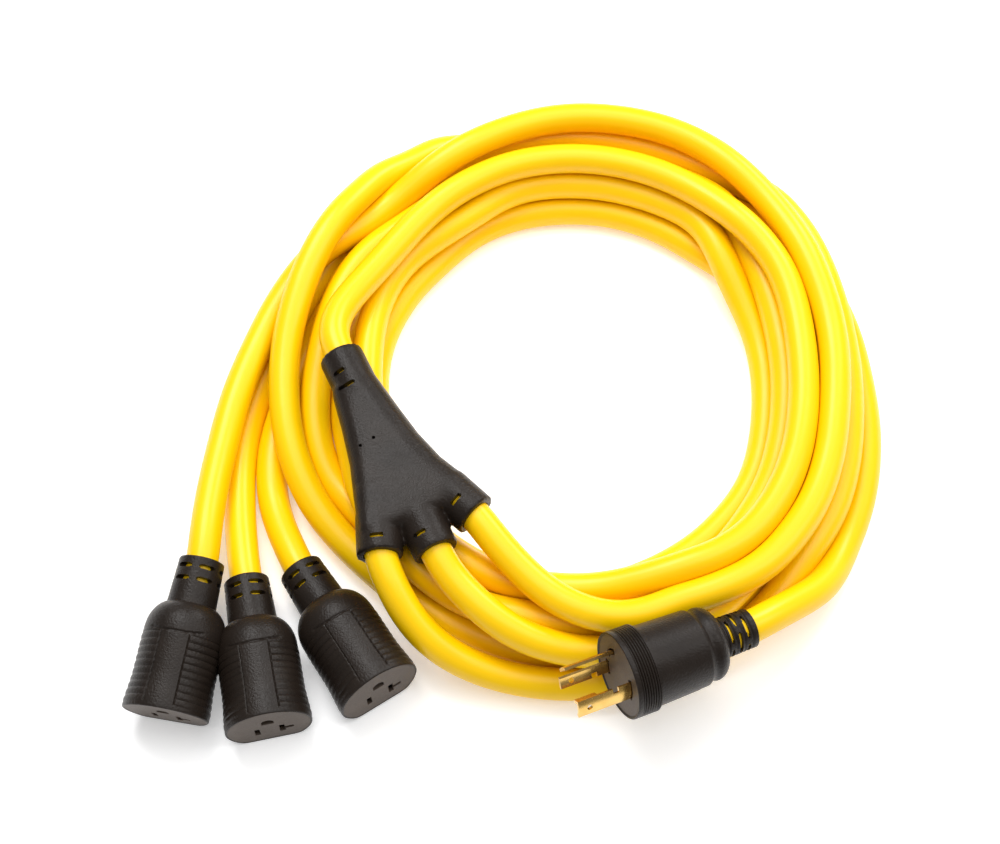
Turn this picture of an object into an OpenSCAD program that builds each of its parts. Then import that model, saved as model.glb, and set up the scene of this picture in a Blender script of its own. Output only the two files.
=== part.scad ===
// Three-way power cord: a locking plug, a coiled main cord, a moulded splitter
// and three short cords, each ending in a moulded connector.

/* [Cord] */
// Outside diameter of the cord's jacket
cord_d = 17; // [12:0.5:18]
// Diameter of one insulated conductor
wire_d = 4; // [3:0.1:4.6]

/* [Coil] */
// Centre of the coil on the floor, across
coil_x = 68; // [50:1:80]
// Centre of the coil on the floor, along
coil_y = 96; // [80:1:110]
// Inside radius of the pile of turns
coil_in_r = 104; // [90:1:115]
// Outside radius of the pile of turns
coil_out_r = 176; // [165:1:190]

/* [Plug] */
// Radius of the plug's front ring
plug_ring_r = 22.5; // [21:0.5:24]
// Radius of the plug's body behind the ring
plug_body_r = 20.5; // [18:0.5:21]
// Length of the plug's body
plug_body_l = 56; // [54:1:60]
// Radius of the circle that the blades stand on
blade_circle_r = 12.5; // [11.5:0.1:13]
// Thickness of a blade
blade_t = 1.6; // [1.2:0.1:1.8]
// How far the two power blades stand out
blade_l = 26; // [20:1:28]
// How far the ground blade stands out
ground_blade_l = 28; // [24:1:32]

/* [Splitter] */
// Length from the inlet to the middle outlet
splitter_l = 126; // [116:1:136]
// Radius of each round collar
splitter_collar_r = 12; // [11:0.5:13]
// Angle between the middle outlet and each outer one
outlet_angle = 21; // [18:1:26]

/* [Connector] */
// Radius of the connector's round side
connector_r = 22; // [20:0.5:22.5]
// Distance from the connector's axis to its flat underside
connector_flat = 17; // [16:0.5:18]
// Length of the connector's wide body
connector_body_l = 56; // [48:1:58]
// Length of the connector with its collar
connector_l = 82; // [76:1:86]

/* [Hidden] */
$fn = 48;

cord_r = cord_d / 2;
wire_r = wire_d / 2;
tube_sides = 12;
cord_yellow = [0.98, 0.76, 0.02];
moulding_black = [0.13, 0.12, 0.11];
face_grey = [0.27, 0.25, 0.23];
brass = [0.85, 0.65, 0.28];
copper = [0.80, 0.45, 0.25];
wire_colours = ["green", "black", "white"];

// Two layers of turns, the lower one wider
pile_h = 33;
pile_step_h = cord_d;
pile_top_out_r = coil_out_r - 20;

// Places of the three moulded fittings, from the coil's centre: position, yaw and pitch
plug_place = [[19.5, -180.5, 53.5], -156.5, 8.5];
splitter_place = [[-125, 5, 46], -65, 0];
connector_places = [
  [[-208, -188.5, 17.4], -100, -8],
  [[-155, -195, 17], -78, 0],
  [[-99.5, -176.5, 18.8], -57, 2]
];
LEFT = 0;
MIDDLE = 1;
RIGHT = 2;
GROUND = 0;
HOT = 1;
NEUTRAL = 2;

// Plug details
plug_l = 75;
plug_ring_l = 13;
plug_face_r = 18.5;
plug_face_t = 9;
plug_chamber_r = 15.5;
plug_chamber_end = -30;
plug_cord_end = -34;
blade_angles = [28, 160, 222];
blade_spans = [44, 36, 28];
blade_root = -14;

// Connector details
connector_collar_r = 12.2;
connector_collar_tip_r = 11.2;
shoulder_l = 15;
face_inset = 2;
face_t = 4;
chamber_r = 12.5;
chamber_end = -32;
connector_cord_end = -36;
contact_xy = [[0, 7.9], [-6.35, -4], [6.35, -4]];
contact_back = -19;
barrel_l = 9;

// Splitter details
outlet_r = 27;
splitter_t = 25;
splice_x = 66;
splice_spacing = 8;
splice_level = 6;
splitter_cord_depth = 34;

// Unit vector of a yaw and pitch
function heading(yaw, pitch) = [cos(pitch) * cos(yaw), cos(pitch) * sin(yaw), sin(pitch)];
// Point on the axis of a placed fitting, the given distance behind its front
function behind(place, d) = place[0] - d * heading(place[1], place[2]);
// Point in the splitter's own plane, where x runs from inlet to outlets
function splitter_point(x, y) = splitter_place[0]
  + x * heading(splitter_place[1], 0) + y * heading(splitter_place[1] + 90, 0);
// The outlet mouths lie on an arc round a point inside the splitter
outlet_pivot = splitter_l - 60;
outlet_reach = 60;
function outlet_turn(side) = side * outlet_angle;
function outlet_point(side, d) = splitter_point(
  outlet_pivot + (outlet_reach + d) * cos(outlet_turn(side)) - abs(side) * 6,
  (outlet_reach + d) * sin(outlet_turn(side)) + side * 5);

// Routes of the cords where they lie free, as points from the coil's centre
splitter_end_route = [
  splitter_point(splitter_cord_depth, 0), splitter_point(0, 0),
  [-131, 22, 46], [-123, 46, 45], [-98, 86, 42], [-70, 114, 35], [-34, 136, 27]
];
plug_end_route = [
  [163, 10, 9], [159, -42, 9], [143, -92, 13], [120, -124, 27],
  behind(plug_place, plug_l), behind(plug_place, -plug_cord_end)
];
left_route = [
  outlet_point(1, -splitter_cord_depth), outlet_point(1, 0), [-28, -118, 43],
  [8, -141, 41], [56, -138, 41], [98, -111, 41], [125, -72, 41], [142, -24, 40],
  [146, 26, 40], [134, 74, 41], [108, 124, 41], [66, 159, 41], [16, 171, 41],
  [-38, 163, 41], [-82, 140, 32], [-122, 110, 23], [-150, 86, 22], [-171, 44, 20],
  [-183, 0, 21], [-191, -42, 26], [-194, -80, 29],
  behind(connector_places[LEFT], connector_l), behind(connector_places[LEFT], -connector_cord_end)
];
middle_route = [
  outlet_point(0, -splitter_cord_depth), outlet_point(0, 0), [-50, -134, 36],
  [-8, -152, 27], [46, -145, 25], [90, -114, 25], [124, -66, 24], [138, -10, 24],
  [136, 40, 23], [116, 86, 19], [72, 142, 10], [16, 162, 9], [-40, 160, 9],
  [-92, 138, 9], [-131, 99, 9], [-156, 50, 9], [-173, 3, 9], [-180, -44, 10],
  behind(connector_places[MIDDLE], connector_l), behind(connector_places[MIDDLE], -connector_cord_end)
];
right_route = [
  outlet_point(-1, -splitter_cord_depth), outlet_point(-1, 0), [-86, -135, 36],
  [-52, -157, 17], [-6, -166, 9], [46, -158, 9], [96, -131, 13], [132, -92, 20],
  [150, -42, 24], [154, 10, 24], [146, 66, 24], [122, 112, 24], [80, 149, 24],
  [28, 168, 24], [-28, 165, 24], [-76, 138, 18], [-112, 96, 9], [-141, 51, 9],
  [-159, 4, 9], [-166, -38, 9],
  behind(connector_places[RIGHT], connector_l), behind(connector_places[RIGHT], -connector_cord_end)
];

// Sweeps a tube of flat sides along a route
function unit(v) = v / norm(v);
function route_direction(route, i) =
  i == 0 ? unit(route[1] - route[0])
  : i == len(route) - 1 ? unit(route[i] - route[i - 1])
  : unit(unit(route[i] - route[i - 1]) + unit(route[i + 1] - route[i]));
function ring_point(centre, direction, angle) =
  let (side = unit(cross(direction, [0, 0, 1])), top = cross(side, direction))
  centre + cord_r * (cos(angle) * side + sin(angle) * top);
module tube(route) {
  rings = len(route);
  points = [
    for (i = [0:rings - 1], k = [0:tube_sides - 1])
      ring_point(route[i], route_direction(route, i), 360 * k / tube_sides)
  ];
  walls = [
    for (i = [0:rings - 2], k = [0:tube_sides - 1], half = [0, 1])
      let (
        a = i * tube_sides + k,
        b = i * tube_sides + (k + 1) % tube_sides,
        c = a + tube_sides,
        d = b + tube_sides
      )
      half == 0 ? [a, c, d] : [a, d, b]
  ];
  first_cap = [for (k = [0:tube_sides - 1]) k];
  last_cap = [for (k = [tube_sides - 1:-1:0]) (rings - 1) * tube_sides + k];
  color(cord_yellow)
    at_coil() polyhedron(points = points, faces = concat(walls, [first_cap, last_cap]), convexity = 6);
}

// Placement: the coil's centre, and a fitting whose axis is +Z and whose top is +Y
module at_coil() {
  translate([coil_x, coil_y, 0]) children();
}
module at_fitting(place) {
  at_coil()
    translate(place[0])
      rotate([0, 0, place[1]])
        rotate([0, 90 - place[2], 0])
          rotate([0, 0, 90])
            children();
}
module at_splitter() {
  at_coil()
    translate(splitter_place[0])
      rotate([0, 0, splitter_place[1]])
        children();
}

// A rod between two points
module rod(p, q, r) {
  d = q - p;
  translate(p)
    rotate([0, acos(d[2] / norm(d)), atan2(d[1], d[0])])
      cylinder(r = r, h = norm(d));
}
// A conductor: straight inside its barrel, then slanting to the cord's cut end
module conductor(barrel, bend, cord_end) {
  rod(barrel, bend, wire_r);
  translate(bend) sphere(r = wire_r * 1.1);
  rod(bend, cord_end, wire_r);
}

// Cords
module main_cord_coil() {
  color(cord_yellow)
    at_coil()
      rotate_extrude($fn = 96)
        polygon([
          [coil_in_r, 0], [coil_out_r, 0], [coil_out_r, pile_step_h],
          [pile_top_out_r, pile_h], [coil_in_r, pile_h]
        ]);
}
module main_cord_splitter_end() { tube(splitter_end_route); }
module main_cord_plug_end() { tube(plug_end_route); }
module branch_cord_left() { tube(left_route); }
module branch_cord_middle() { tube(middle_route); }
module branch_cord_right() { tube(right_route); }

// Locking plug: z = 0 is its face, and its blades stand along +Z
groove_z = -45;
groove_depth = 1;
groove_w = 4;
module plug_outline() {
  dome_l = 9;
  neck_r = 12;
  polygon([
    [0, 0], [plug_ring_r, 0], [plug_ring_r, -plug_ring_l],
    [plug_body_r, -plug_ring_l - 1], [plug_body_r - 0.8, groove_z + groove_w],
    [plug_body_r - 0.8 - groove_depth, groove_z + groove_w / 2],
    [plug_body_r - 1.2, groove_z], [plug_body_r - 2, -plug_body_l + dome_l],
    [plug_body_r - 4, -plug_body_l + dome_l / 3], [neck_r + 1, -plug_body_l],
    [0, -plug_body_l]
  ]);
}
module plug_body() {
  color(moulding_black)
    at_fitting(plug_place)
      difference() {
        rotate_extrude() plug_outline();
        translate([0, 0, -plug_face_t]) cylinder(r = plug_face_r, h = plug_face_t + 1);
        translate([0, 0, plug_chamber_end])
          cylinder(r = plug_chamber_r, h = -plug_chamber_end);
        translate([0, 0, -plug_body_l - 1])
          cylinder(r = cord_r, h = plug_body_l + plug_chamber_end + 2);
      }
}
module plug_strain_relief() {
  relief_l = plug_l - plug_body_l;
  ring_count = 3;
  ring_pitch = relief_l / ring_count;
  tip_r = 11;
  root_r = 12.4;
  color(moulding_black)
    at_fitting(plug_place)
      translate([0, 0, -plug_l])
        difference() {
          cylinder(r1 = tip_r, r2 = root_r, h = relief_l);
          translate([0, 0, -1]) cylinder(r = cord_r, h = relief_l + 2);
          for (i = [1:ring_count - 1])
            translate([0, 0, i * ring_pitch - 1])
              difference() {
                cylinder(r = root_r + 1, h = 2);
                translate([0, 0, -1]) cylinder(r = tip_r - 1, h = 4);
              }
        }
}
module blade_sector(span, length, back) {
  rotate([0, 0, -span / 2])
    translate([0, 0, back])
      rotate_extrude(angle = span)
        translate([blade_circle_r - blade_t / 2, 0]) square([blade_t, length - back]);
}
module plug_face() {
  color(face_grey)
    at_fitting(plug_place)
      difference() {
        translate([0, 0, -plug_face_t]) cylinder(r = plug_face_r, h = plug_face_t);
        for (pole = [GROUND:NEUTRAL])
          rotate([0, 0, blade_angles[pole]]) blade_sector(blade_spans[pole], 2, -plug_face_t - 1);
      }
}
// A blade is a curved strip with a locking notch, a hole, and a barrel for its wire
module plug_blade(pole, length) {
  notch_z = 6;
  notch_w = 3;
  notch_depth = 2.4;
  hole_r = 1.5;
  barrel_z = blade_root - barrel_l;
  span = blade_spans[pole];
  color(brass)
    at_fitting(plug_place)
      rotate([0, 0, blade_angles[pole]]) {
        difference() {
          blade_sector(span, length, blade_root);
          rotate([0, 0, span / 2])
            translate([0, -notch_depth, notch_z])
              cube([blade_circle_r + 5, notch_depth * 2, notch_w]);
          translate([0, 0, length - 6])
            rotate([0, 90, 0]) cylinder(r = hole_r, h = blade_circle_r + 5);
        }
        if (pole == GROUND)
          rotate([0, 0, span / 2])
            translate([blade_circle_r - blade_t / 2 - 3, -blade_t, length - 11])
              cube([3.4, blade_t, 11]);
        difference() {
          translate([blade_circle_r - 2.4, 0, barrel_z]) cylinder(r = 2.8, h = barrel_l + 0.5);
          translate([blade_circle_r - 2.4, 0, barrel_z - 1]) cylinder(r = wire_r, h = barrel_l - 1);
        }
      }
}
module plug_blade_ground() { plug_blade(GROUND, ground_blade_l); }
module plug_blade_hot() { plug_blade(HOT, blade_l); }
module plug_blade_neutral() { plug_blade(NEUTRAL, blade_l); }
module plug_wire(pole) {
  barrel_r = blade_circle_r - 2.4;
  barrel_top = blade_root - 3;
  color(wire_colours[pole])
    at_fitting(plug_place)
      rotate([0, 0, blade_angles[pole]])
        conductor([barrel_r, 0, barrel_top], [barrel_r, 0, -25], [4, 0, plug_cord_end]);
}
module plug_wire_ground() { plug_wire(GROUND); }
module plug_wire_hot() { plug_wire(HOT); }
module plug_wire_neutral() { plug_wire(NEUTRAL); }

// Splitter: x runs from the inlet to the outlets and z = 0 is its middle plane
module at_outlet(side) {
  translate([outlet_pivot - abs(side) * 6, side * 5, 0])
    rotate([0, 0, outlet_turn(side)])
      translate([outlet_reach, 0, 0])
        children();
}
module splitter_edge(x, y) {
  edge_r = 9;
  for (level = [-1, 1])
    translate([x, y, level * (splitter_t / 2 - edge_r)]) sphere(r = edge_r, $fn = 24);
}
module splitter_skin() {
  inlet_l = 28;
  waist_x = 66;
  fan_x = 101;
  hull() {
    rotate([0, 90, 0]) cylinder(r = splitter_collar_r, h = 1, $fn = 32);
    translate([inlet_l, 0, 0]) rotate([0, 90, 0]) cylinder(r = splitter_collar_r, h = 1, $fn = 32);
  }
  hull() {
    translate([inlet_l - 4, 0, 0]) rotate([0, 90, 0]) cylinder(r = splitter_collar_r, h = 1, $fn = 32);
    for (side = [-1, 1]) splitter_edge(waist_x, side * 10.5);
  }
  hull() {
    for (side = [-1, 1]) {
      splitter_edge(waist_x, side * 10.5);
      splitter_edge(fan_x, side * 23);
    }
  }
  for (side = [-1, 0, 1])
    hull() {
      at_outlet(side) rotate([0, -90, 0]) cylinder(r = splitter_collar_r - 0.8, h = 20, $fn = 32);
      splitter_edge(90, side * 16);
    }
}
// Slots in the collars, as x, y and turn in the splitter's plane
collar_slots = [[14, -6, 0], [23, -6, 0], [111, 20, outlet_angle], [120, -5, 0], [112, -26, -outlet_angle]];
pin_holes = [[59, -5], [60, -13]];
module splitter_body() {
  hole_r = 1;
  slot_l = 8;
  slot_w = 2.2;
  color(moulding_black)
    at_splitter()
      difference() {
        splitter_skin();
        translate([-1, 0, 0]) rotate([0, 90, 0]) cylinder(r = cord_r, h = splitter_cord_depth + 1);
        for (side = [-1, 0, 1])
          at_outlet(side)
            translate([1, 0, 0]) rotate([0, -90, 0]) cylinder(r = cord_r, h = splitter_cord_depth + 1);
        translate([splitter_cord_depth - 1, -7, -7]) cube([24, 14, 14]);
        translate([splice_x - 10, -13, -10]) cube([24, 26, 20]);
        translate([splice_x + 13, -17, -7]) cube([14, 34, 14]);
        for (slot = collar_slots)
          translate([slot[0], slot[1], 0])
            rotate([0, 0, slot[2]])
              translate([-slot_w / 2, -slot_l / 2, 3]) cube([slot_w, slot_l, splitter_t]);
        for (place = pin_holes)
          translate([place[0], place[1], splitter_t / 2 - 2]) cylinder(r = hole_r, h = 4);
      }
}
function splice_y(pole) = (pole - 1) * splice_spacing;
function splice_z(pole) = (pole - 1) * splice_level;
module splice_ferrule(pole) {
  ferrule_l = 12;
  color(copper)
    at_splitter()
      translate([splice_x - ferrule_l / 2, splice_y(pole), splice_z(pole)])
        rotate([0, 90, 0])
          difference() {
            cylinder(r = 3.6, h = ferrule_l);
            translate([0, 0, -1]) cylinder(r = 2.6, h = ferrule_l + 2);
          }
}
module splice_ferrule_ground() { splice_ferrule(GROUND); }
module splice_ferrule_hot() { splice_ferrule(HOT); }
module splice_ferrule_neutral() { splice_ferrule(NEUTRAL); }
// One conductor in from the main cord and three out, each pole on its own level
module splice_wires(pole) {
  joint = [splice_x, splice_y(pole), splice_z(pole)];
  cord_z = splice_z(pole) * 0.7;
  out_r = 1.2;
  color(wire_colours[pole])
    at_splitter() {
      rod([splitter_cord_depth, splice_y(pole) * 0.45, cord_z], joint, wire_r);
      for (side = [-1, 0, 1])
        rod(joint, [outlet_pivot + 27 - abs(side) * 8, side * 14, cord_z], out_r);
    }
}
module splice_wires_ground() { splice_wires(GROUND); }
module splice_wires_hot() { splice_wires(HOT); }
module splice_wires_neutral() { splice_wires(NEUTRAL); }

// Connector: z = 0 is its face, and its flat underside is towards -Y
module d_outline(r, flat) {
  intersection() {
    circle(r = r);
    translate([-r - 1, -flat]) square([2 * r + 2, flat + r + 1]);
  }
}
module connector_body(place) {
  collar_l = connector_l - connector_body_l;
  slot_w = 2.2;
  slot_l = 9;
  color(moulding_black)
    at_fitting(place)
      difference() {
        intersection() {
          rotate_extrude()
            polygon([
              [0, 0], [connector_r, 0], [connector_r - 0.6, -connector_body_l + shoulder_l],
              [connector_r - 3.5, -connector_body_l + shoulder_l * 0.4],
              [connector_collar_r, -connector_body_l], [connector_collar_tip_r, -connector_l],
              [0, -connector_l]
            ]);
          translate([-30, -connector_flat, -connector_l - 1]) cube([60, 60, connector_l + 2]);
        }
        translate([0, 0, -face_t])
          linear_extrude(face_t + 1) d_outline(connector_r - face_inset, connector_flat - face_inset);
        translate([0, 0, chamber_end]) cylinder(r = chamber_r, h = -chamber_end);
        translate([0, 0, -connector_l - 1])
          cylinder(r = cord_r, h = connector_l + chamber_end + 2);
        for (row = [4.5, 13], side = [-1, 1])
          translate([side * 5.5 - slot_l / 2, 0, -connector_l + row])
            cube([slot_l, connector_r, slot_w]);
      }
}
// Openings of the socket: a round-topped ground hole, a straight slot and a tee slot
slot_t = 2;
module socket_openings(depth) {
  ground_r = 2.8;
  translate([0, 0, -depth - 1]) {
    linear_extrude(depth + 2) {
      translate(contact_xy[GROUND]) circle(r = ground_r);
      translate(contact_xy[GROUND] - [ground_r, ground_r]) square([2 * ground_r, ground_r]);
      translate(contact_xy[HOT] - [slot_t / 2, 3.5]) square([slot_t, 7]);
      translate(contact_xy[NEUTRAL] - [slot_t / 2, 4]) square([slot_t, 8]);
      translate(contact_xy[NEUTRAL] - [0, slot_t / 2]) square([5.5, slot_t]);
    }
  }
}
module connector_face(place) {
  color(face_grey)
    at_fitting(place)
      difference() {
        translate([0, 0, -face_t])
          linear_extrude(face_t) d_outline(connector_r - face_inset, connector_flat - face_inset);
        socket_openings(face_t);
      }
}
// A contact is a slotted block or a sleeve, with a barrel behind it for its wire
module connector_contact(place, pole) {
  contact_l = -face_t - contact_back;
  sleeve_r = 2.45;
  spring_t = 0.9;
  color(brass)
    at_fitting(place)
      translate([contact_xy[pole][0], contact_xy[pole][1], contact_back]) {
        difference() {
          if (pole == GROUND) {
            cylinder(r = sleeve_r + spring_t, h = contact_l);
          } else {
            translate([-slot_t / 2 - spring_t, -3.6, 0])
              cube([slot_t + 2 * spring_t, 7.2, contact_l]);
          }
          if (pole == GROUND) {
            translate([0, 0, 1]) cylinder(r = sleeve_r, h = contact_l);
          } else {
            translate([-slot_t / 2, -5, 1.5]) cube([slot_t, 10, contact_l]);
          }
        }
        translate([0, 0, -barrel_l])
          difference() {
            cylinder(r = 2.8, h = barrel_l);
            translate([0, 0, -1]) cylinder(r = wire_r, h = barrel_l);
          }
      }
}
module connector_wire(place, pole) {
  xy = contact_xy[pole];
  barrel_tip = contact_back - barrel_l;
  color(wire_colours[pole])
    at_fitting(place)
      conductor(
        [xy[0], xy[1], barrel_tip + 6], [xy[0], xy[1], barrel_tip - 1],
        [xy[0] * 0.5, xy[1] * 0.5, connector_cord_end]
      );
}
module connector_left_body() { connector_body(connector_places[LEFT]); }
module connector_left_face() { connector_face(connector_places[LEFT]); }
module connector_left_contact_ground() { connector_contact(connector_places[LEFT], GROUND); }
module connector_left_contact_hot() { connector_contact(connector_places[LEFT], HOT); }
module connector_left_contact_neutral() { connector_contact(connector_places[LEFT], NEUTRAL); }
module connector_left_wire_ground() { connector_wire(connector_places[LEFT], GROUND); }
module connector_left_wire_hot() { connector_wire(connector_places[LEFT], HOT); }
module connector_left_wire_neutral() { connector_wire(connector_places[LEFT], NEUTRAL); }
module connector_middle_body() { connector_body(connector_places[MIDDLE]); }
module connector_middle_face() { connector_face(connector_places[MIDDLE]); }
module connector_middle_contact_ground() { connector_contact(connector_places[MIDDLE], GROUND); }
module connector_middle_contact_hot() { connector_contact(connector_places[MIDDLE], HOT); }
module connector_middle_contact_neutral() { connector_contact(connector_places[MIDDLE], NEUTRAL); }
module connector_middle_wire_ground() { connector_wire(connector_places[MIDDLE], GROUND); }
module connector_middle_wire_hot() { connector_wire(connector_places[MIDDLE], HOT); }
module connector_middle_wire_neutral() { connector_wire(connector_places[MIDDLE], NEUTRAL); }
module connector_right_body() { connector_body(connector_places[RIGHT]); }
module connector_right_face() { connector_face(connector_places[RIGHT]); }
module connector_right_contact_ground() { connector_contact(connector_places[RIGHT], GROUND); }
module connector_right_contact_hot() { connector_contact(connector_places[RIGHT], HOT); }
module connector_right_contact_neutral() { connector_contact(connector_places[RIGHT], NEUTRAL); }
module connector_right_wire_ground() { connector_wire(connector_places[RIGHT], GROUND); }
module connector_right_wire_hot() { connector_wire(connector_places[RIGHT], HOT); }
module connector_right_wire_neutral() { connector_wire(connector_places[RIGHT], NEUTRAL); }

main_cord_coil();
main_cord_splitter_end();
main_cord_plug_end();
branch_cord_left();
branch_cord_middle();
branch_cord_right();
plug_body();
plug_strain_relief();
plug_face();
plug_blade_ground();
plug_blade_hot();
plug_blade_neutral();
plug_wire_ground();
plug_wire_hot();
plug_wire_neutral();
splitter_body();
splice_ferrule_ground();
splice_ferrule_hot();
splice_ferrule_neutral();
splice_wires_ground();
splice_wires_hot();
splice_wires_neutral();
connector_left_body();
connector_left_face();
connector_left_contact_ground();
connector_left_contact_hot();
connector_left_contact_neutral();
connector_left_wire_ground();
connector_left_wire_hot();
connector_left_wire_neutral();
connector_middle_body();
connector_middle_face();
connector_middle_contact_ground();
connector_middle_contact_hot();
connector_middle_contact_neutral();
connector_middle_wire_ground();
connector_middle_wire_hot();
connector_middle_wire_neutral();
connector_right_body();
connector_right_face();
connector_right_contact_ground();
connector_right_contact_hot();
connector_right_contact_neutral();
connector_right_wire_ground();
connector_right_wire_hot();
connector_right_wire_neutral();
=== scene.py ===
import math
import bpy
import bmesh
import numpy as np
from mathutils import Matrix, Vector


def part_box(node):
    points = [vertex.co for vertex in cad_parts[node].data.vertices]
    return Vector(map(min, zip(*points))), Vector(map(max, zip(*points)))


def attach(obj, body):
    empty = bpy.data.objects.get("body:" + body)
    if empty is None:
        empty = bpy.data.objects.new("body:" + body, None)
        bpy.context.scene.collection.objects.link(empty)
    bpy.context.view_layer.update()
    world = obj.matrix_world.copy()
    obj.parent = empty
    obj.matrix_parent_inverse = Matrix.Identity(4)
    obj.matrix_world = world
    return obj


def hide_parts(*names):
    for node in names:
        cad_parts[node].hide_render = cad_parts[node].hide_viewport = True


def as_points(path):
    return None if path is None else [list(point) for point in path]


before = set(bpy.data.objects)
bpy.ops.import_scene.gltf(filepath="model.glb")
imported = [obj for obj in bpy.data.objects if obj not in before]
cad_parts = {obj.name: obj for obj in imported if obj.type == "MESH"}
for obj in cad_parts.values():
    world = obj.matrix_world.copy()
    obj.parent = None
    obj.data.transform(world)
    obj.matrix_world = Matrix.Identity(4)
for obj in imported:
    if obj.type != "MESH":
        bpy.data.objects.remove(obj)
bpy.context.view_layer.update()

MM = 0.001
CORD_D = 17.0
CORD_R = CORD_D / 2
COIL_CENTRE = np.array([68.0, 96.0, 0.0])
FLOOR_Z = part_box("main_cord_coil")[0][2]

# Places of the fittings, as in the CAD: position from the coil's centre in mm, yaw and pitch
PLUG = ((19.5, -180.5, 53.5), -156.5, 8.5)
SPLITTER = ((-125.0, 5.0, 46.0), -65.0, 0.0)
CONNECTORS = {
    "left": ((-208.0, -188.5, 17.4), -100.0, -8.0),
    "middle": ((-155.0, -195.0, 17.0), -78.0, 0.0),
    "right": ((-99.5, -176.5, 18.8), -57.0, 2.0),
}
PLUG_L = 75.0
CONNECTOR_L = 82.0
OUTLET_ANGLE = 21.0
OUTLET_PIVOT = 66.0
OUTLET_REACH = 60.0
GRIP_DEPTH = 24.0
CONNECTOR_FLAT = 17.0
SLOT_FLOOR_R = CORD_R - 0.2

# Settling: spacing of the points along a cord, gap between cords and rounds, then spacing of the tube's rings
CORD_STEP = 9.0
CORD_GAP = CORD_D + 0.3
FULL_ROUNDS = 1500
RING_STEP = 4.5

# Centre and span of each blade round the plug's axis, in degrees, estimated and not from a standard
PLUG_BLADES = ((28, 44), (160, 36), (222, 28))

# The camera and the point it looks at, from the coil's centre
CAMERA_PLACE = np.array([-38.3, -467.3, 858.4])
CAMERA_TARGET = np.array([-38.3, -23.6, 24.0])


def heading(yaw, pitch):
    a, b = math.radians(yaw), math.radians(pitch)
    return np.array([math.cos(b) * math.cos(a), math.cos(b) * math.sin(a), math.sin(b)])


def behind(place, distance):
    return np.array(place[0]) - distance * heading(place[1], place[2])


def splitter_point(x, y, z=0.0):
    along = heading(SPLITTER[1], 0)
    across = heading(SPLITTER[1] + 90, 0)
    return np.array(SPLITTER[0]) + x * along + y * across + np.array([0, 0, z])


def outlet_point(side, distance):
    turn = math.radians(side * OUTLET_ANGLE)
    reach = OUTLET_REACH + distance
    return splitter_point(OUTLET_PIVOT + reach * math.cos(turn) - abs(side) * 6,
                          reach * math.sin(turn) + side * 5)


# ---------------------------------------------------------------- cord routes, from the coil's centre in mm

LEFT_ROUTE = [
    (-38, -107, 45), (-2, -139, 41), (33, -145, 41), (64, -135, 41), (96, -113, 41), (119, -85, 41),
    (134, -55, 41), (143, -18, 40), (146, 26, 40), (134, 74, 41), (115, 116, 41), (79, 153, 41),
    (45, 168, 41), (-3, 172, 41), (-38, 161, 41), (-63, 148, 37), (-96, 124, 27), (-118, 110, 23),
    (-133, 99, 22), (-147, 77, 21), (-158, 55, 20), (-169, 29, 20), (-181, 0, 21), (-188, -32, 25),
    (-193, -72, 29),
]
MIDDLE_ROUTE = [
    (-64, -122, 42), (-50, -134, 36), (-28, -146, 29), (13, -154, 25), (52, -143, 25), (90, -114, 25),
    (121, -72, 24), (136, -20, 24), (138, 20, 24), (127, 60, 22), (110, 96, 17), (82, 134, 10),
    (45, 155, 9), (0, 162, 9), (-45, 158, 9), (-72, 149, 9), (-103, 131, 9), (-131, 99, 9),
    (-153, 57, 9), (-165, 29, 9), (-173, 3, 9), (-179, -28, 9), (-179, -72, 13),
]
RIGHT_ROUTE = [
    (-98, -118, 45), (-91, -132, 40), (-79, -149, 30), (-57, -160, 19), (-29, -167, 12), (14, -168, 9),
    (60, -154, 9), (100, -128, 14), (130, -95, 20), (148, -50, 24), (154, 0, 24), (151, 50, 24),
    (134, 95, 24), (103, 131, 24), (60, 158, 24), (10, 170, 24), (-45, 160, 24), (-72, 142, 19),
    (-94, 119, 11), (-117, 88, 9), (-141, 51, 9), (-150, 26, 9), (-160, 0, 9), (-166, -30, 9),
    (-162, -64, 10),
]
SPLITTER_END_ROUTE = [(-130, 21, 46), (-124, 40, 45), (-110, 62, 43)]
LAST_TURN_ROUTE = [
    (-127, -83, 12), (-141, -62, 18), (-152, -41, 24), (-157, -12, 28), (-158, 12, 31), (-157, 34, 34),
    (-153, 55, 37), (-146, 73, 39), (-137, 91, 40), (-126, 108, 38), (-104, 126, 32), (-84, 146, 22),
    (-67, 161, 14), (-44, 174, 10), (0, 179, 9), (67, 162, 9), (115, 116, 9), (148, 62, 9),
    (166, -2, 9), (164, -37, 9), (156, -73, 9), (139, -99, 14), (123, -121, 25), (106, -138, 36),
]
# (radius, height) of each turn, clockwise from the left in steps of 45 degrees
MAIN_TURNS = [
    [None, (131, 40), (143, 41), (140, 40), (127, 40), (137, 42), (126, 28), (117, 25)],
    [(111, 25), (126, 25), (136, 24), (134, 23), (112, 10), (115, 9), (118, 9), (113, 9)],
    [(109, 9), (119, 9), (130, 9), (136, 9), (129, 9), (131, 9), (135, 9), (131, 9)],
    [(142, 18), (145, 24), (153, 24), (148, 25), (120, 24), (130, 25), (143, 25), (134, 24)],
    [(127, 9), (136, 9), (145, 9), (152, 9), (146, 9), (149, 9), (152, 9), (148, 9)],
]


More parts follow.
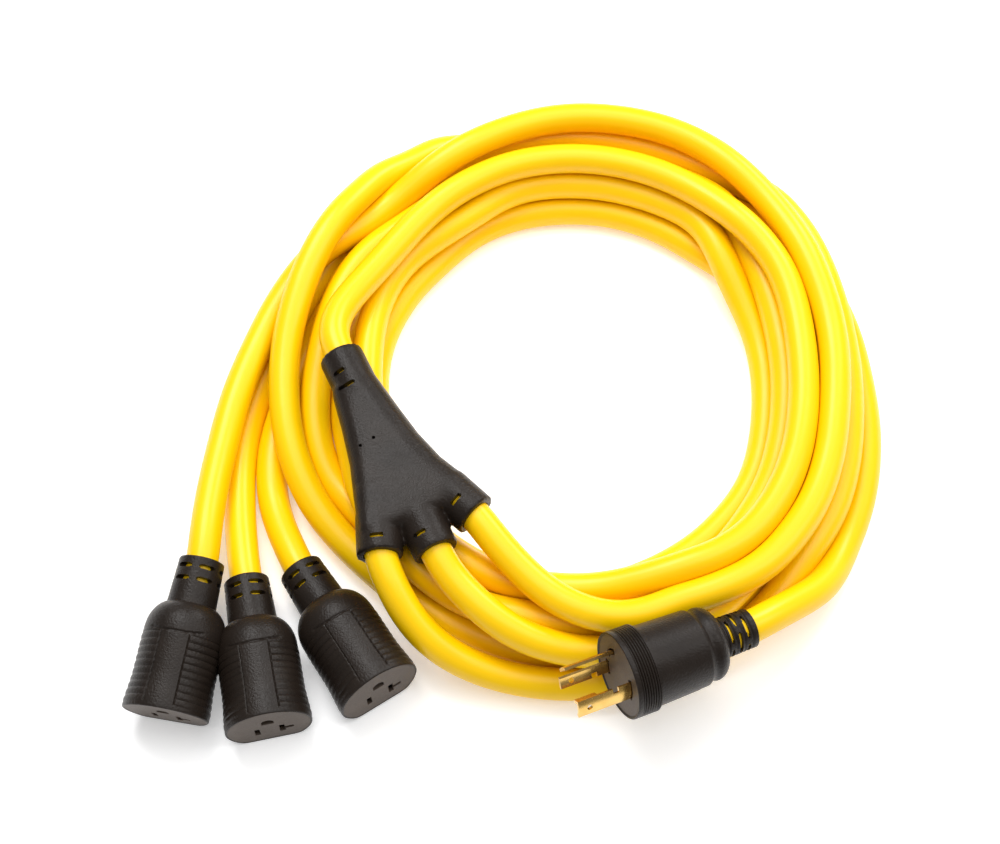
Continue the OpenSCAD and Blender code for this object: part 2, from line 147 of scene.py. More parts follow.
def spline(points, step):
    """A smooth curve through the points, sampled evenly."""
    p = np.array([np.asarray(q, float) for q in points])
    t = np.concatenate([[0], np.cumsum(np.linalg.norm(np.diff(p, axis=0), axis=1) ** 0.5)])
    m = np.gradient(p, t, axis=0)
    fine = []
    for i in range(len(p) - 1):
        h = t[i + 1] - t[i]
        u = np.linspace(0, 1, 40, endpoint=False)[:, None]
        fine.append((2 * u**3 - 3 * u**2 + 1) * p[i] + (u**3 - 2 * u**2 + u) * h * m[i]
                    + (3 * u**2 - 2 * u**3) * p[i + 1] + (u**3 - u**2) * h * m[i + 1])
    fine.append(p[-1:])
    return resample(np.concatenate(fine), step)


def resample(path, step):
    run = np.concatenate([[0], np.cumsum(np.linalg.norm(np.diff(path, axis=0), axis=1))])
    count = max(2, int(round(run[-1] / step)) + 1)
    marks = np.linspace(0, run[-1], count)
    return np.stack([np.interp(marks, run, path[:, k]) for k in range(3)], axis=1)


def grip(start, end):
    """Three points on the straight stretch of cord that a fitting holds."""
    return [start + (end - start) * f for f in (0.0, 0.5, 1.0)]


def main_route():
    stations = []
    for turn, row in enumerate(MAIN_TURNS):
        for eighth, place in enumerate(row):
            if place:
                angle = math.radians(180 - 45 * eighth - 360 * turn)
                stations.append((angle, *place))
    st = np.array(stations)
    angles = st[:, 0]
    slopes = [np.gradient(st[:, k], angles) for k in (1, 2)]
    coil = []
    for i in range(len(st) - 1):
        u = np.linspace(0, 1, 12, endpoint=False)
        h = angles[i + 1] - angles[i]
        vals = []
        for k in (1, 2):
            s = slopes[k - 1]
            vals.append((2 * u**3 - 3 * u**2 + 1) * st[i, k] + (u**3 - 2 * u**2 + u) * h * s[i]
                        + (3 * u**2 - 2 * u**3) * st[i + 1, k] + (u**3 - u**2) * h * s[i + 1])
        a = angles[i] + u * h
        coil += [(r * math.cos(b), r * math.sin(b), z) for b, r, z in zip(a, *vals)]
    inlet = splitter_point(0, 0)
    inside = splitter_point(GRIP_DEPTH, 0)
    plug_back = behind(PLUG, PLUG_L)
    plug_inside = behind(PLUG, PLUG_L - GRIP_DEPTH)
    return (grip(inside, inlet) + SPLITTER_END_ROUTE + coil[3:] + LAST_TURN_ROUTE
            + grip(plug_back, plug_inside))


def branch_route(side, middle, place):
    return (grip(outlet_point(side, -GRIP_DEPTH), outlet_point(side, 0)) + middle
            + grip(behind(place, CONNECTOR_L), behind(place, CONNECTOR_L - GRIP_DEPTH)))


# ---------------------------------------------------------------- settling the cords

def obstacle_balls():
    """Balls that roughly fill the fittings, as rows of x, y, z, radius."""
    balls = []
    for d in range(0, 78, 4):
        balls.append((*splitter_point(d, 0), 12.4))
    for side in (-1, 0, 1):
        for d in range(-36, 1, 4):
            balls.append((*outlet_point(side, d), 12.0))
    for d in range(0, 76, 4):
        r = 22.5 if d < 12 else 20.5 if d < 50 else 17 if d < 56 else 11.5
        balls.append((*behind(PLUG, d), r))
    for place in CONNECTORS.values():
        for d in range(0, 81, 4):
            r = 20.0 if d < 42 else 16 if d < 52 else 11.5
            balls.append((*behind(place, d), r))
    return np.array(balls)


def settle(routes, step, rounds):
    """Lays the cords down: it holds their lengths, smooths their bends and pushes overlaps apart."""
    cords = [spline(r, step) for r in routes]
    sizes = [len(c) for c in cords]
    starts = np.concatenate([[0], np.cumsum(sizes)])
    x = np.concatenate(cords)
    n = len(x)
    home = x.copy()
    cord_id = np.repeat(np.arange(len(cords)), sizes)
    fixed = np.zeros(n, bool)
    held = int(round(GRIP_DEPTH / step)) + 2
    for a, b in zip(starts[:-1], starts[1:]):
        fixed[a:a + held] = True
        fixed[b - held:b] = True
    free = ~fixed
    link = np.arange(n - 1)[cord_id[:-1] == cord_id[1:]]
    rest = np.linalg.norm(x[link + 1] - x[link], axis=1)
    inner = np.arange(2, n - 2)
    inner = inner[cord_id[inner - 2] == cord_id[inner + 2]]
    inner = inner[free[inner]]
    balls = obstacle_balls()
    near_end = np.zeros(n, bool)
    reach = int(round(40 / step))
    for a, b in zip(starts[:-1], starts[1:]):
        near_end[a:a + reach] = True
        near_end[b - reach:b] = True
    skip = int(round(34 / step))

    for turn in range(rounds):
        if turn % 20 == 0:
            d2 = ((x[:, None, :] - x[None, :, :]) ** 2).sum(-1)
            i, j = np.nonzero(np.triu(d2 < 28.0**2, 1))
            keep = (cord_id[i] != cord_id[j]) | (j - i > skip)
            i, j = i[keep], j[keep]
            b2 = ((x[:, None, :] - balls[None, :, :3]) ** 2).sum(-1)
            bi, bj = np.nonzero((b2 < (balls[None, :, 3] + CORD_R + 12) ** 2) & ~near_end[:, None])
        pull = 0.04 if turn < rounds * 0.7 else 0.01
        drop = 0.04 if turn < rounds * 0.7 else 0.02
        x[free] += pull * (home - x)[free]
        x[free, 2] -= drop
        bend = x[inner - 2] - 4 * x[inner - 1] + 6 * x[inner] - 4 * x[inner + 1] + x[inner + 2]
        x[inner] -= 0.055 * bend
        for _ in range(3):
            d = x[link + 1] - x[link]
            length = np.linalg.norm(d, axis=1)
            fix = (d / length[:, None]) * (length - rest)[:, None] * 0.45
            move = np.zeros_like(x)
            move[link] += fix
            move[link + 1] -= fix
            x[free] += move[free]
        for _ in range(2):
            d = x[j] - x[i]
            length = np.maximum(np.linalg.norm(d, axis=1), 1e-6)
            short = CORD_GAP - length
            hit = short > 0
            push = d[hit] / length[hit, None] * (short[hit] * 0.5 * 0.45)[:, None]
            move = np.zeros_like(x)
            for k in range(3):
                move[:, k] += np.bincount(j[hit], push[:, k], n)
                move[:, k] -= np.bincount(i[hit], push[:, k], n)
            d = x[bi] - balls[bj, :3]
            length = np.maximum(np.linalg.norm(d, axis=1), 1e-6)
            short = balls[bj, 3] + CORD_R - length
            hit = short > 0
            push = d[hit] / length[hit, None] * (short[hit] * 0.4)[:, None]
            for k in range(3):
                move[:, k] += np.bincount(bi[hit], push[:, k], n)
            x[free] += move[free]
            x[free, 2] = np.maximum(x[free, 2], CORD_R)
    d = np.linalg.norm(x[j] - x[i], axis=1)
    print("settled:", n, "points, closest pair", round(float(d.min()), 2), "mm, pairs under 16 mm:",
          int((d < 16).sum()))
    return [x[a:b] for a, b in zip(starts[:-1], starts[1:])]


def smooth_path(points, step):
    """A cubic B-spline along the points, with its ends on the first and last of them."""
    p = np.concatenate([points[:1] * 2 - points[1:2], points, points[-1:] * 2 - points[-2:-1]])
    u = np.linspace(0, 1, 6, endpoint=False)[:, None]
    out = []
    for k in range(len(p) - 3):
        out.append(((1 - u)**3 * p[k] + (3 * u**3 - 6 * u**2 + 4) * p[k + 1]
                    + (-3 * u**3 + 3 * u**2 + 3 * u + 1) * p[k + 2] + u**3 * p[k + 3]) / 6)
    out.append(points[-1:])
    return resample(np.concatenate(out), step)


def tube(name, path, sides=28):
    """A round cord along the path, with its length and its girth in the UV map, in metres."""
    path = (path + COIL_CENTRE) * MM
    tangent = np.gradient(path, axis=0)
    tangent /= np.linalg.norm(tangent, axis=1)[:, None]
    normal = np.cross(tangent[0], (0, 0, 1.0))
    rings = []
    for t, p in zip(tangent, path):
        normal = normal - t * normal.dot(t)
        normal /= np.linalg.norm(normal)
        other = np.cross(t, normal)
        a = np.arange(sides) * 2 * math.pi / sides
        rings.append(p + CORD_R * MM * (np.cos(a)[:, None] * normal + np.sin(a)[:, None] * other))
    verts = np.concatenate(rings)
    run = np.concatenate([[0], np.cumsum(np.linalg.norm(np.diff(path, axis=0), axis=1))])
    faces, uvs = [], []
    for i in range(len(path) - 1):
        for k in range(sides):
            a, b = i * sides + k, i * sides + (k + 1) % sides
            faces.append((a, b, b + sides, a + sides))
            g0, g1 = k / sides * CORD_D * math.pi * MM, (k + 1) / sides * CORD_D * math.pi * MM
            uvs += [(run[i], g0), (run[i], g1), (run[i + 1], g1), (run[i + 1], g0)]
    last = (len(path) - 1) * sides
    faces.append(tuple(range(sides))[::-1])
    faces.append(tuple(range(last, last + sides)))
    uvs += [(0, 0)] * (2 * sides)
    mesh = bpy.data.meshes.new(name)
    mesh.from_pydata(verts.tolist(), [], faces)
    layer = mesh.uv_layers.new(name="UVMap")
    layer.data.foreach_set("uv", np.array(uvs, dtype=np.float32).ravel())
    mesh.polygons.foreach_set("use_smooth", [True] * len(mesh.polygons))
    mesh.update()
    obj = bpy.data.objects.new(name, mesh)
    bpy.context.scene.collection.objects.link(obj)
    return obj, path, float(run[-1])


routes = [
    main_route(),
    branch_route(1, LEFT_ROUTE, CONNECTORS["left"]),
    branch_route(0, MIDDLE_ROUTE, CONNECTORS["middle"]),
    branch_route(-1, RIGHT_ROUTE, CONNECTORS["right"]),
]
settled = settle(routes, CORD_STEP, FULL_ROUNDS)

# ---------------------------------------------------------------- materials

def principled(name):
    mat = bpy.data.materials.new(name)
    mat.use_nodes = True
    return mat, mat.node_tree.nodes, mat.node_tree.links, mat.node_tree.nodes["Principled BSDF"]


def surface(name, low, high, scale, roughness, bump, grain,
            stretch=(1, 1, 1), coords="Object", metallic=0.0, specular=0.5):
    """A material whose colour drifts between two tones, with a fine grain in its relief and its gloss."""
    mat, nodes, links, bsdf = principled(name)
    coord = nodes.new("ShaderNodeTexCoord")
    mapping = nodes.new("ShaderNodeMapping")
    mapping.inputs["Scale"].default_value = stretch
    links.new(coord.outputs[coords], mapping.inputs["Vector"])
    drift = nodes.new("ShaderNodeTexNoise")
    drift.inputs["Scale"].default_value = scale
    drift.inputs["Detail"].default_value = 3
    links.new(mapping.outputs["Vector"], drift.inputs["Vector"])
    ramp = nodes.new("ShaderNodeValToRGB")
    ramp.color_ramp.elements[0].position = 0.3
    ramp.color_ramp.elements[0].color = (*low, 1)
    ramp.color_ramp.elements[1].position = 0.7
    ramp.color_ramp.elements[1].color = (*high, 1)
    links.new(drift.outputs["Fac"], ramp.inputs["Fac"])
    links.new(ramp.outputs["Color"], bsdf.inputs["Base Color"])
    fine = nodes.new("ShaderNodeTexNoise")
    fine.inputs["Scale"].default_value = grain
    fine.inputs["Detail"].default_value = 2
    links.new(mapping.outputs["Vector"], fine.inputs["Vector"])
    gloss = nodes.new("ShaderNodeMapRange")
    gloss.inputs["To Min"].default_value = roughness - 0.08
    gloss.inputs["To Max"].default_value = roughness + 0.08
    links.new(fine.outputs["Fac"], gloss.inputs["Value"])
    links.new(gloss.outputs["Result"], bsdf.inputs["Roughness"])
    relief = nodes.new("ShaderNodeBump")
    relief.inputs["Strength"].default_value = bump
    relief.inputs["Distance"].default_value = 0.0003
    links.new(fine.outputs["Fac"], relief.inputs["Height"])
    links.new(relief.outputs["Normal"], bsdf.inputs["Normal"])
    bsdf.inputs["Metallic"].default_value = metallic
    bsdf.inputs["Specular IOR Level"].default_value = specular
    return mat


cord_mat = surface("cord_yellow", (0.94, 0.56, 0.0), (0.97, 0.61, 0.0), 9, 0.34, 0.1, 260,
                   stretch=(0.15, 1, 1), coords="UV", specular=0.32)
moulding_mat = surface("moulding_black", (0.0115, 0.0078, 0.0056), (0.0175, 0.0122, 0.009), 60, 0.36, 0.9,
                       1000, specular=0.2)
face_mat = surface("insert_grey", (0.070, 0.050, 0.036), (0.085, 0.062, 0.046), 80, 0.5, 0.4, 1100,
                   specular=0.3)
brass_mat = surface("brass", (0.66, 0.40, 0.10), (0.76, 0.50, 0.16), 120, 0.24, 0.1, 900, metallic=1.0)
copper_mat = surface("copper", (0.62, 0.27, 0.15), (0.72, 0.33, 0.19), 120, 0.3, 0.1, 900, metallic=1.0)
green_mat = surface("wire_green", (0.01, 0.16, 0.03), (0.015, 0.2, 0.04), 60, 0.35, 0.1, 900)
black_mat = surface("wire_black", (0.012, 0.012, 0.012), (0.018, 0.018, 0.018), 60, 0.35, 0.1, 900)
white_mat = surface("wire_white", (0.7, 0.7, 0.67), (0.76, 0.76, 0.73), 60, 0.35, 0.1, 900)
SLOT_MATERIALS = {
    "cord_jacket": cord_mat, "moulding": moulding_mat, "insert_face": face_mat, "brass": brass_mat,
    "copper": copper_mat, "wire_green": green_mat, "wire_black": black_mat, "wire_white": white_mat,
}

# ---------------------------------------------------------------- moulded fittings

def fitting_matrix(place):
    """From millimetres in a fitting's frame, axis +Z forward and top +Y, to the shared frame."""
    forward = Vector(heading(place[1], place[2]))
    a = math.radians(place[1])
    side = Vector((-math.sin(a), math.cos(a), 0))
    top = forward.cross(side)
    turn = Matrix((side, top, forward)).transposed().to_4x4()
    origin = Vector((np.array(place[0]) + COIL_CENTRE) * MM)
    return Matrix.Translation(origin) @ turn @ Matrix.Scale(MM, 4)


def splitter_matrix():
    origin = Vector((np.array(SPLITTER[0]) + COIL_CENTRE) * MM)
    turn = Matrix.Rotation(math.radians(SPLITTER[1]), 4, "Z")
    return Matrix.Translation(origin) @ turn @ Matrix.Scale(MM, 4)


def add_piece(name, mesh, matrix, material, nodes):
    mesh.transform(matrix)
    mesh.polygons.foreach_set("use_smooth", [True] * len(mesh.polygons))
    mesh.set_sharp_from_angle(angle=math.radians(35))
    mesh.materials.clear()
    mesh.materials.append(material)
    obj = bpy.data.objects.new(name, mesh)
    bpy.context.scene.collection.objects.link(obj)
    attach(obj, "root")
    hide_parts(*nodes)


def smoothstep(low, high, value):
    t = np.clip((value - low) / (high - low), 0, 1)
    return t * t * (3 - 2 * t)


def groove(value, centre, width):
    """One in the middle of a groove and nought outside it."""
    return np.clip(1 - np.abs(value - centre) / (width / 2), 0, 1) ** 0.7


def turned_mesh(name, depths, radii, angles, slots, slot_floor):
    """A skin round the axis: radii[i, k] at depths[i] behind the face, with slots cut through to a floor."""
    rows, cols = radii.shape
    x = radii * np.sin(angles)[None, :]
    y = radii * np.cos(angles)[None, :]
    z = np.repeat(-depths[:, None], cols, axis=1)
    verts = np.stack([x, y, z], -1).reshape(-1, 3).tolist()
    mid_depth = (depths[:-1] + depths[1:]) / 2
    mid_angle = angles + (angles[1] - angles[0]) / 2
    is_open = np.zeros((rows - 1, cols), bool)
    for depth, angle, half_depth, half_angle in slots:
        off = (mid_angle - angle + math.pi) % (2 * math.pi) - math.pi
        u = np.abs(off / half_angle)[None, :]
        v = np.abs((mid_depth - depth) / half_depth)[:, None]
        is_open |= u**3 + v**3 < 1
    inner = {}

    def floor_vert(i, k):
        k %= cols
        if (i, k) not in inner:
            inner[i, k] = len(verts)
            a = angles[k]
            verts.append((slot_floor * math.sin(a), slot_floor * math.cos(a), -depths[i]))
        return inner[i, k]

    faces = []
    for i in range(rows - 1):
        for k in range(cols):
            k2 = (k + 1) % cols
            if not is_open[i, k]:
                faces.append((i * cols + k, (i + 1) * cols + k, (i + 1) * cols + k2, i * cols + k2))
                continue
            if not is_open[i - 1, k]:
                faces.append((i * cols + k, i * cols + k2, floor_vert(i, k2), floor_vert(i, k)))
            if not is_open[i + 1, k]:
                faces.append(((i + 1) * cols + k2, (i + 1) * cols + k, floor_vert(i + 1, k),
                              floor_vert(i + 1, k2)))
            if not is_open[i, k - 1]:
                faces.append(((i + 1) * cols + k, i * cols + k, floor_vert(i, k), floor_vert(i + 1, k)))
            if not is_open[i, k2]:
                faces.append((i * cols + k2, (i + 1) * cols + k2, floor_vert(i + 1, k2),
                              floor_vert(i, k2)))
    mesh = bpy.data.meshes.new(name)
    mesh.from_pydata(verts, [], faces)
    mesh.update()
    return mesh


def plate_mesh(name, outline, holes, thickness, z):
    """A flat plate with a rounded edge and holes, its outer side at the given z."""
    curve = bpy.data.curves.new(name, "CURVE")
    curve.dimensions = "2D"
    curve.fill_mode = "BOTH"
    curve.extrude = thickness / 2 - 0.2
    curve.bevel_depth = 0.2
    curve.bevel_resolution = 2
    curve.offset = -0.2
    for ring in [outline] + holes:
        line = curve.splines.new("POLY")
        line.points.add(len(ring) - 1)
        for point, (x, y) in zip(line.points, ring):
            point.co = (x, y, 0, 1)
        line.use_cyclic_u = True
    obj = bpy.data.objects.new(name, curve)
    bpy.context.scene.collection.objects.link(obj)
    bpy.context.view_layer.update()
    mesh = bpy.data.meshes.new_from_object(obj.evaluated_get(bpy.context.evaluated_depsgraph_get()))
    bpy.data.objects.remove(obj)
    mesh.transform(Matrix.Translation((0, 0, z - thickness / 2)))
    return mesh


def d_limit(radius, angles, flat):
    """The radius cut down to a flat underside, with rounded corners."""
    down = np.maximum(-np.cos(angles), 1e-3)
    straight = np.where(np.cos(angles) < 0, flat / down, 1e3)
    return (radius**-26.0 + straight**-26.0) ** (-1 / 26.0)


def connector_mesh(name):
    angles = np.linspace(0, 2 * math.pi, 240, endpoint=False)
    depths = np.concatenate([[0.3, 0.0, 0.35, 0.9], np.arange(1.4, 81.4, 0.4), [81.6, 81.9, 82.0]])
    turn = np.degrees(np.abs((angles + math.pi) % (2 * math.pi) - math.pi))[None, :]
    d = depths[:, None]
    body = 22.3 - 1.3 * smoothstep(0, 20, d)
    collar = 12.9 - 1.1 * np.clip((d - 57) / 25, 0, 1)
    dome = collar + (body - collar) * np.clip(1 - np.clip((d - 40) / 17, 0, 1) ** 2.5, 0, 1) ** 0.72
    radii = np.where(d < 57, dome, collar) * np.ones_like(turn)
    sides = smoothstep(21, 23, turn)
    pillow = np.abs(np.sin(math.pi * (d - 2.2) / 3.65)) ** 0.55
    ribbed = smoothstep(2, 3, d) * (1 - smoothstep(38.5, 40, d))
    radii = radii + sides * ribbed * (0.55 * pillow - 0.3)
    seam = groove(turn, 21.0, 3.0) * ribbed
    radii = radii - 0.5 * seam
    arc = groove(d, 39.6 + 1.5 * (turn / 40) ** 2, 1.5) * (1 - smoothstep(36, 44, turn))
    radii = radii - 0.6 * arc
    radii = d_limit(radii, angles[None, :], CONNECTOR_FLAT)
    edge = radii[3].copy()
    radii[0], radii[1], radii[2] = edge - 1.3, edge - 0.5, edge - 0.1
    radii[-3], radii[-2], radii[-1] = radii[-4] - 0.3, radii[-4] - 0.9, CORD_R - 0.1
    slots = []
    for depth in (69.8, 76.6):
        for step in range(6):
            slots.append((depth, math.radians(30 + 60 * step), 1.3, math.radians(21)))
    return turned_mesh(name, depths, radii, angles, slots, SLOT_FLOOR_R), edge, angles


def socket_holes():
    ground = [(3.1 * math.cos(a), 7.9 + 2.9 * math.sin(a)) for a in np.linspace(0, math.pi, 17)]
    ground += [(-3.1, 5.2), (3.1, 5.2)]
    straight = [(-7.7, -7.8), (-5.0, -7.8), (-5.0, -0.2), (-7.7, -0.2)]
    tee = [(5.0, -8.4), (7.7, -8.4), (7.7, -5.3), (12.2, -5.3),
           (12.2, -2.7), (7.7, -2.7), (7.7, 0.4), (5.0, 0.4)]
    return [ground, straight, tee]


def build_connector(side, place):
    matrix = fitting_matrix(place)
    mesh, edge, angles = connector_mesh(f"connector_{side}_shell")
    add_piece(f"connector_{side}_shell", mesh, matrix, moulding_mat, [f"connector_{side}_body"])
    outline = [((r - 1.15) * math.sin(a), (r - 1.15) * math.cos(a)) for r, a in zip(edge, angles)]
    plate = plate_mesh(f"connector_{side}_plate", outline, socket_holes(), 2.4, -0.15)
    add_piece(f"connector_{side}_plate", plate, matrix, face_mat, [f"connector_{side}_face"])


def build_plug(place):
    matrix = fitting_matrix(place)
    angles = np.linspace(0, 2 * math.pi, 192, endpoint=False)
    depths = np.concatenate([[0.5, 0.0, 0.3, 0.8], np.arange(1.1, 13.2, 0.15), np.arange(13.4, 74.8, 0.44),
                             [74.7, 74.95, 75.0]])
    d = depths[:, None]
    ring = 22.5 - 0.9 * (1 - np.abs(np.sin(math.pi * (d - 2.6) / 1.35)) ** 0.8) * ((d > 2.6) & (d < 12.0))
    body = 20.7 - 0.9 * (d - 13) / 30
    radii = np.where(d < 12.9, ring, body)
    radii = radii - 1.5 * smoothstep(42.5, 45.5, d) + 0.9 * smoothstep(46.0, 49.0, d)
    relief = 10.6 - 0.5 * (d - 56) / 19
    tail = relief + (radii - relief) * np.clip(1 - np.clip((d - 48.5) / 7.5, 0, 1) ** 2.4, 0, 1) ** 0.6
    radii = np.where(d > 48.5, tail, radii)
    radii = np.where(d > 56, relief, radii)
    for depth in (57.6, 62.2, 66.8, 71.4):
        radii = radii - 0.6 * groove(d, depth, 1.4)
    degrees = np.degrees(angles)[None, :]
    rib_width = 1 - smoothstep(3.2, 4.2, np.abs(degrees - 122))
    rib = rib_width * smoothstep(16, 16.8, d) * (1 - smoothstep(40, 41, d))
    radii = radii + 0.9 * rib
    edge = radii[3].copy()
    radii[0], radii[1], radii[2] = edge - 1.6, edge - 0.6, edge - 0.15
    radii[-3], radii[-2], radii[-1] = radii[-4] - 0.3, radii[-4] - 0.9, CORD_R - 0.1
    slots = []
    for row, depth in enumerate((59.9, 64.5, 69.1)):
        for step in range(4):
            slots.append((depth, math.radians(10 + 45 * (row % 2) + 90 * step), 0.95, math.radians(36)))
    mesh = turned_mesh("plug_shell", depths, radii, angles, slots, SLOT_FLOOR_R)
    add_piece("plug_shell", mesh, matrix, moulding_mat, ["plug_body", "plug_strain_relief"])
    outline = [(21.0 * math.cos(a), 21.0 * math.sin(a)) for a in angles]
    holes = []
    for centre, span in PLUG_BLADES:
        arc = np.radians(np.linspace(centre - span / 2 - 5, centre + span / 2 + 5, 14))
        holes.append([(14.0 * math.cos(a), 14.0 * math.sin(a)) for a in arc]
                     + [(10.9 * math.cos(a), 10.9 * math.sin(a)) for a in arc[::-1]])
    plate = plate_mesh("plug_plate", outline, holes, 2.4, -0.6)
    add_piece("plug_plate", plate, matrix, face_mat, ["plug_face"])


def ball_points(x, y, z, r):
    pts = [(x, y, z + r), (x, y, z - r)]
    for a in np.linspace(-1.3, 1.3, 9):
        for b in np.linspace(0, 2 * math.pi, 20, endpoint=False):
            flat = r * math.cos(a)
            pts.append((x + flat * math.cos(b), y + flat * math.sin(b), z + r * math.sin(a)))
    return pts


def ring_points(x, y, turn, r):
    """A circle of the splitter's collar, facing along the turn."""
    pts = []
    for b in np.linspace(0, 2 * math.pi, 40, endpoint=False):
        flat = r * math.cos(b)
        pts.append((x - flat * math.sin(turn), y + flat * math.cos(turn), r * math.sin(b)))
    return pts


def hull_into(bm, points):
    verts = [bm.verts.new(p) for p in points]
    found = bmesh.ops.convex_hull(bm, input=verts)
    loose = [v for v in found["geom_interior"] if isinstance(v, bmesh.types.BMVert)]
    bmesh.ops.delete(bm, geom=loose, context="VERTS")


def splitter_edge(x, y, r, half):
    """Balls of one size at the top and the bottom of the splitter's edge."""
    return ball_points(x, y, half - r, r) + ball_points(x, y, r - half, r)


def outlet_local(side, distance):
    turn = math.radians(side * OUTLET_ANGLE)
    reach = OUTLET_REACH + distance
    return OUTLET_PIVOT + reach * math.cos(turn) - abs(side) * 6, reach * math.sin(turn) + side * 5, turn


def cutter_object(name, bm):
    mesh = bpy.data.meshes.new(name)
    bmesh.ops.recalc_face_normals(bm, faces=bm.faces)
    bm.to_mesh(mesh)
    obj = bpy.data.objects.new(name, mesh)
    bpy.context.scene.collection.objects.link(obj)
    return obj


def build_splitter():
    bm = bmesh.new()
    hull_into(bm, ring_points(0, 0, 0, 12.2) + ring_points(29, 0, 0, 12.4))
    # a round roll along the side of outlet +1, and a flatter edge along the other side
    stations = [(24, 0.8, -5.0), (45, 4.0, -8.4), (66, 7.6, -12.6), (84, 12.6, -18.0)]
    for (x0, roll0, edge0), (x1, roll1, edge1) in zip(stations[:-1], stations[1:]):
        hull_into(bm, ball_points(x0, roll0, 0, 12.3) + splitter_edge(x0, edge0, 9, 11)
                  + ball_points(x1, roll1, 0, 12.3) + splitter_edge(x1, edge1, 9, 11))
    hull_into(bm, ball_points(84, 12.6, 0, 12.3) + splitter_edge(84, -18.0, 9, 11.6)
              + ball_points(98, 19.0, 0, 12.3) + splitter_edge(103.5, -26, 6.5, 12)
              + splitter_edge(103.5, 10, 6.5, 12))
    for side in (-1, 0, 1):
        x, y, turn = outlet_local(side, 1.8)
        back_x, back_y, _ = outlet_local(side, -20)
        hull_into(bm, ring_points(x, y, turn, 12.1) + ring_points(back_x, back_y, turn, 12.2)
                  + splitter_edge(92, side * 16, 9, 11.5))
    skin = cutter_object("splitter_skin", bm)
    bores, windows = bmesh.new(), bmesh.new()
    ends = [(0.0, 0.0, math.pi)] + [outlet_local(side, 0) for side in (-1, 0, 1)]
    for x, y, turn in ends:
        turned = Matrix.Rotation(turn, 4, "Z") @ Matrix.Rotation(math.pi / 2, 4, "Y")
        place = Matrix.Translation((x, y, 0)) @ turned
        bmesh.ops.create_cone(bores, cap_ends=True, segments=48, radius1=CORD_R + 0.1, radius2=CORD_R + 0.1,
                              depth=52, matrix=place)
    side_turn = math.radians(OUTLET_ANGLE)
    for x, y, turn, length in ((14, -6, 0, 8), (23.5, -5.5, 0, 11), (109.5, 19.5, side_turn, 8.5),
                               (119, -5, 0, 8.5), (111, -25.5, -side_turn, 9)):
        place = Matrix.Translation((x, y, 14)) @ Matrix.Rotation(turn, 4, "Z")
        cube = bmesh.ops.create_cube(windows, size=1, matrix=place @ Matrix.Diagonal((2.4, length, 16, 1)))
        edges = {e for v in cube["verts"] for e in v.link_edges if abs((e.verts[0].co - e.verts[1].co).z) > 5}
        bmesh.ops.bevel(windows, geom=list(edges), offset=1.1, segments=3, affect="EDGES")
    for x, y in ((59, -5), (60, -13)):
        bmesh.ops.create_cone(windows, cap_ends=True, segments=20, radius1=0.95, radius2=0.95, depth=8,
                              matrix=Matrix.Translation((x, y, 12)))
    cutters = [cutter_object("splitter_bores", bores), cutter_object("splitter_windows", windows)]
    remesh = skin.modifiers.new("join", "REMESH")
    remesh.mode = "VOXEL"
    remesh.voxel_size = 0.9
    relax = skin.modifiers.new("relax", "SMOOTH")
    relax.factor = 0.5
    relax.iterations = 10
    for cutter in cutters:
        cut = skin.modifiers.new("cut", "BOOLEAN")
        cut.operation = "DIFFERENCE"
        cut.solver = "EXACT"
        cut.object = cutter
    bpy.context.view_layer.update()
    mesh = bpy.data.meshes.new_from_object(skin.evaluated_get(bpy.context.evaluated_depsgraph_get()))
    for obj in cutters + [skin]:
        bpy.data.objects.remove(obj)
    add_piece("splitter_shell", mesh, splitter_matrix(), moulding_mat, ["splitter_body"])


for side_name, side_place in CONNECTORS.items():
    build_connector(side_name, side_place)
build_plug(PLUG)
build_splitter()

# ---------------------------------------------------------------- cords


def lay_cord(name, points, nodes):
    obj, path, length = tube(name, smooth_path(points, RING_STEP))
    obj.data.materials.append(cord_mat)
    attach(obj, "root")
    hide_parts(*nodes)
    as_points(path)
    print(name, round(length, 3), "m")


lay_cord("main_cord", settled[0], ["main_cord_coil", "main_cord_splitter_end", "main_cord_plug_end"])
for k, (side, name) in enumerate(((1, "left"), (0, "middle"), (-1, "right"))):
    lay_cord(f"cord_{name}", settled[k + 1], [f"branch_cord_{name}"])

# ---------------------------------------------------------------- the CAD pieces that stay as they are

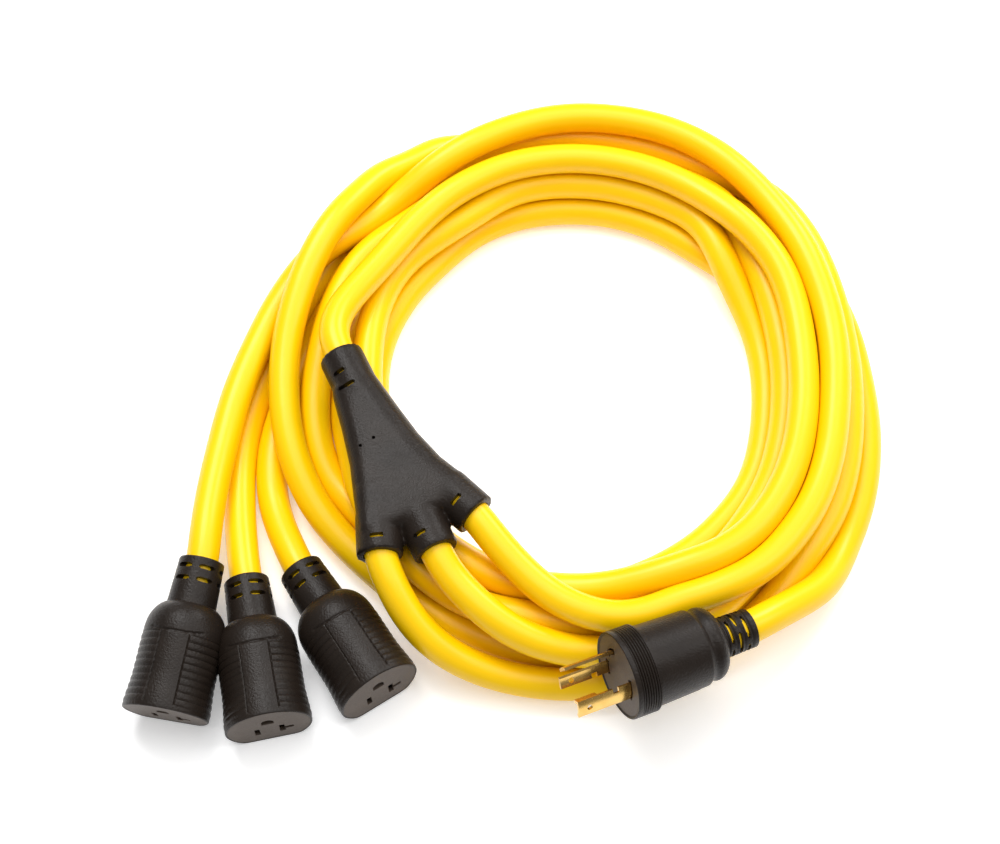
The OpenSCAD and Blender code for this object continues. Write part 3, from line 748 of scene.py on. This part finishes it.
WIRE_SLOTS = {"ground": "wire_green", "hot": "wire_black", "neutral": "wire_white"}
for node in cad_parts:
    part = bpy.data.objects.get(node)
    pole = node.rsplit("_", 1)[-1]
    if part is None or part.type != "MESH" or pole not in WIRE_SLOTS:
        continue
    if "blade" in node or "contact" in node:
        finish = "brass"
    elif "ferrule" in node:
        finish = "copper"
    else:
        finish = WIRE_SLOTS[pole]
    part.data.materials.clear()
    part.data.materials.append(SLOT_MATERIALS[finish])

# ---------------------------------------------------------------- floor, light, camera

bpy.ops.mesh.primitive_plane_add(size=8, location=(0, 0, FLOOR_Z - 0.0002))
floor = bpy.context.object
floor.name = "floor"
floor_mat, _, _, floor_shader = principled("floor_white")
floor_shader.inputs["Base Color"].default_value = (0.93, 0.93, 0.93, 1)
floor_shader.inputs["Roughness"].default_value = 0.9
floor_shader.inputs["Emission Color"].default_value = (1, 1, 1, 1)
floor_shader.inputs["Emission Strength"].default_value = 0.3
floor.data.materials.append(floor_mat)

world = bpy.data.worlds.new("studio")
bpy.context.scene.world = world
bpy.context.scene.view_settings.view_transform = "Standard"
world.use_nodes = True
world.node_tree.nodes["Background"].inputs["Color"].default_value = (1, 1, 1, 1)
world.node_tree.nodes["Background"].inputs["Strength"].default_value = 0.32


def area_light(name, place, target, size, power):
    data = bpy.data.lights.new(name, "AREA")
    data.shape = "RECTANGLE"
    data.size, data.size_y = size
    data.energy = power
    obj = bpy.data.objects.new(name, data)
    obj.location = place
    obj.rotation_euler = (Vector(target) - Vector(place)).to_track_quat("-Z", "Y").to_euler()
    bpy.context.scene.collection.objects.link(obj)


area_light("overhead", (0.07, 0.2, 1.5), (0.07, 0.1, 0), (1.5, 1.5), 15)
area_light("key", (-0.35, 0.8, 1.25), (0.02, 0.05, 0), (0.7, 0.6), 12)
area_light("side", (0.75, 1.05, 0.85), (0.0, 0.1, 0), (0.45, 0.45), 7)
area_light("fill", (1.1, 0.1, 1.1), (0.05, 0.05, 0), (0.5, 0.9), 5)

camera_data = bpy.data.cameras.new("camera")
camera_data.lens = 62.03
camera_data.sensor_width = 36.0
camera = bpy.data.objects.new("camera", camera_data)
camera.location = (COIL_CENTRE + CAMERA_PLACE) * MM
target = Vector((COIL_CENTRE + CAMERA_TARGET) * MM)
camera.rotation_euler = (target - camera.location).to_track_quat("-Z", "Y").to_euler()
bpy.context.scene.collection.objects.link(camera)
bpy.context.scene.camera = camera
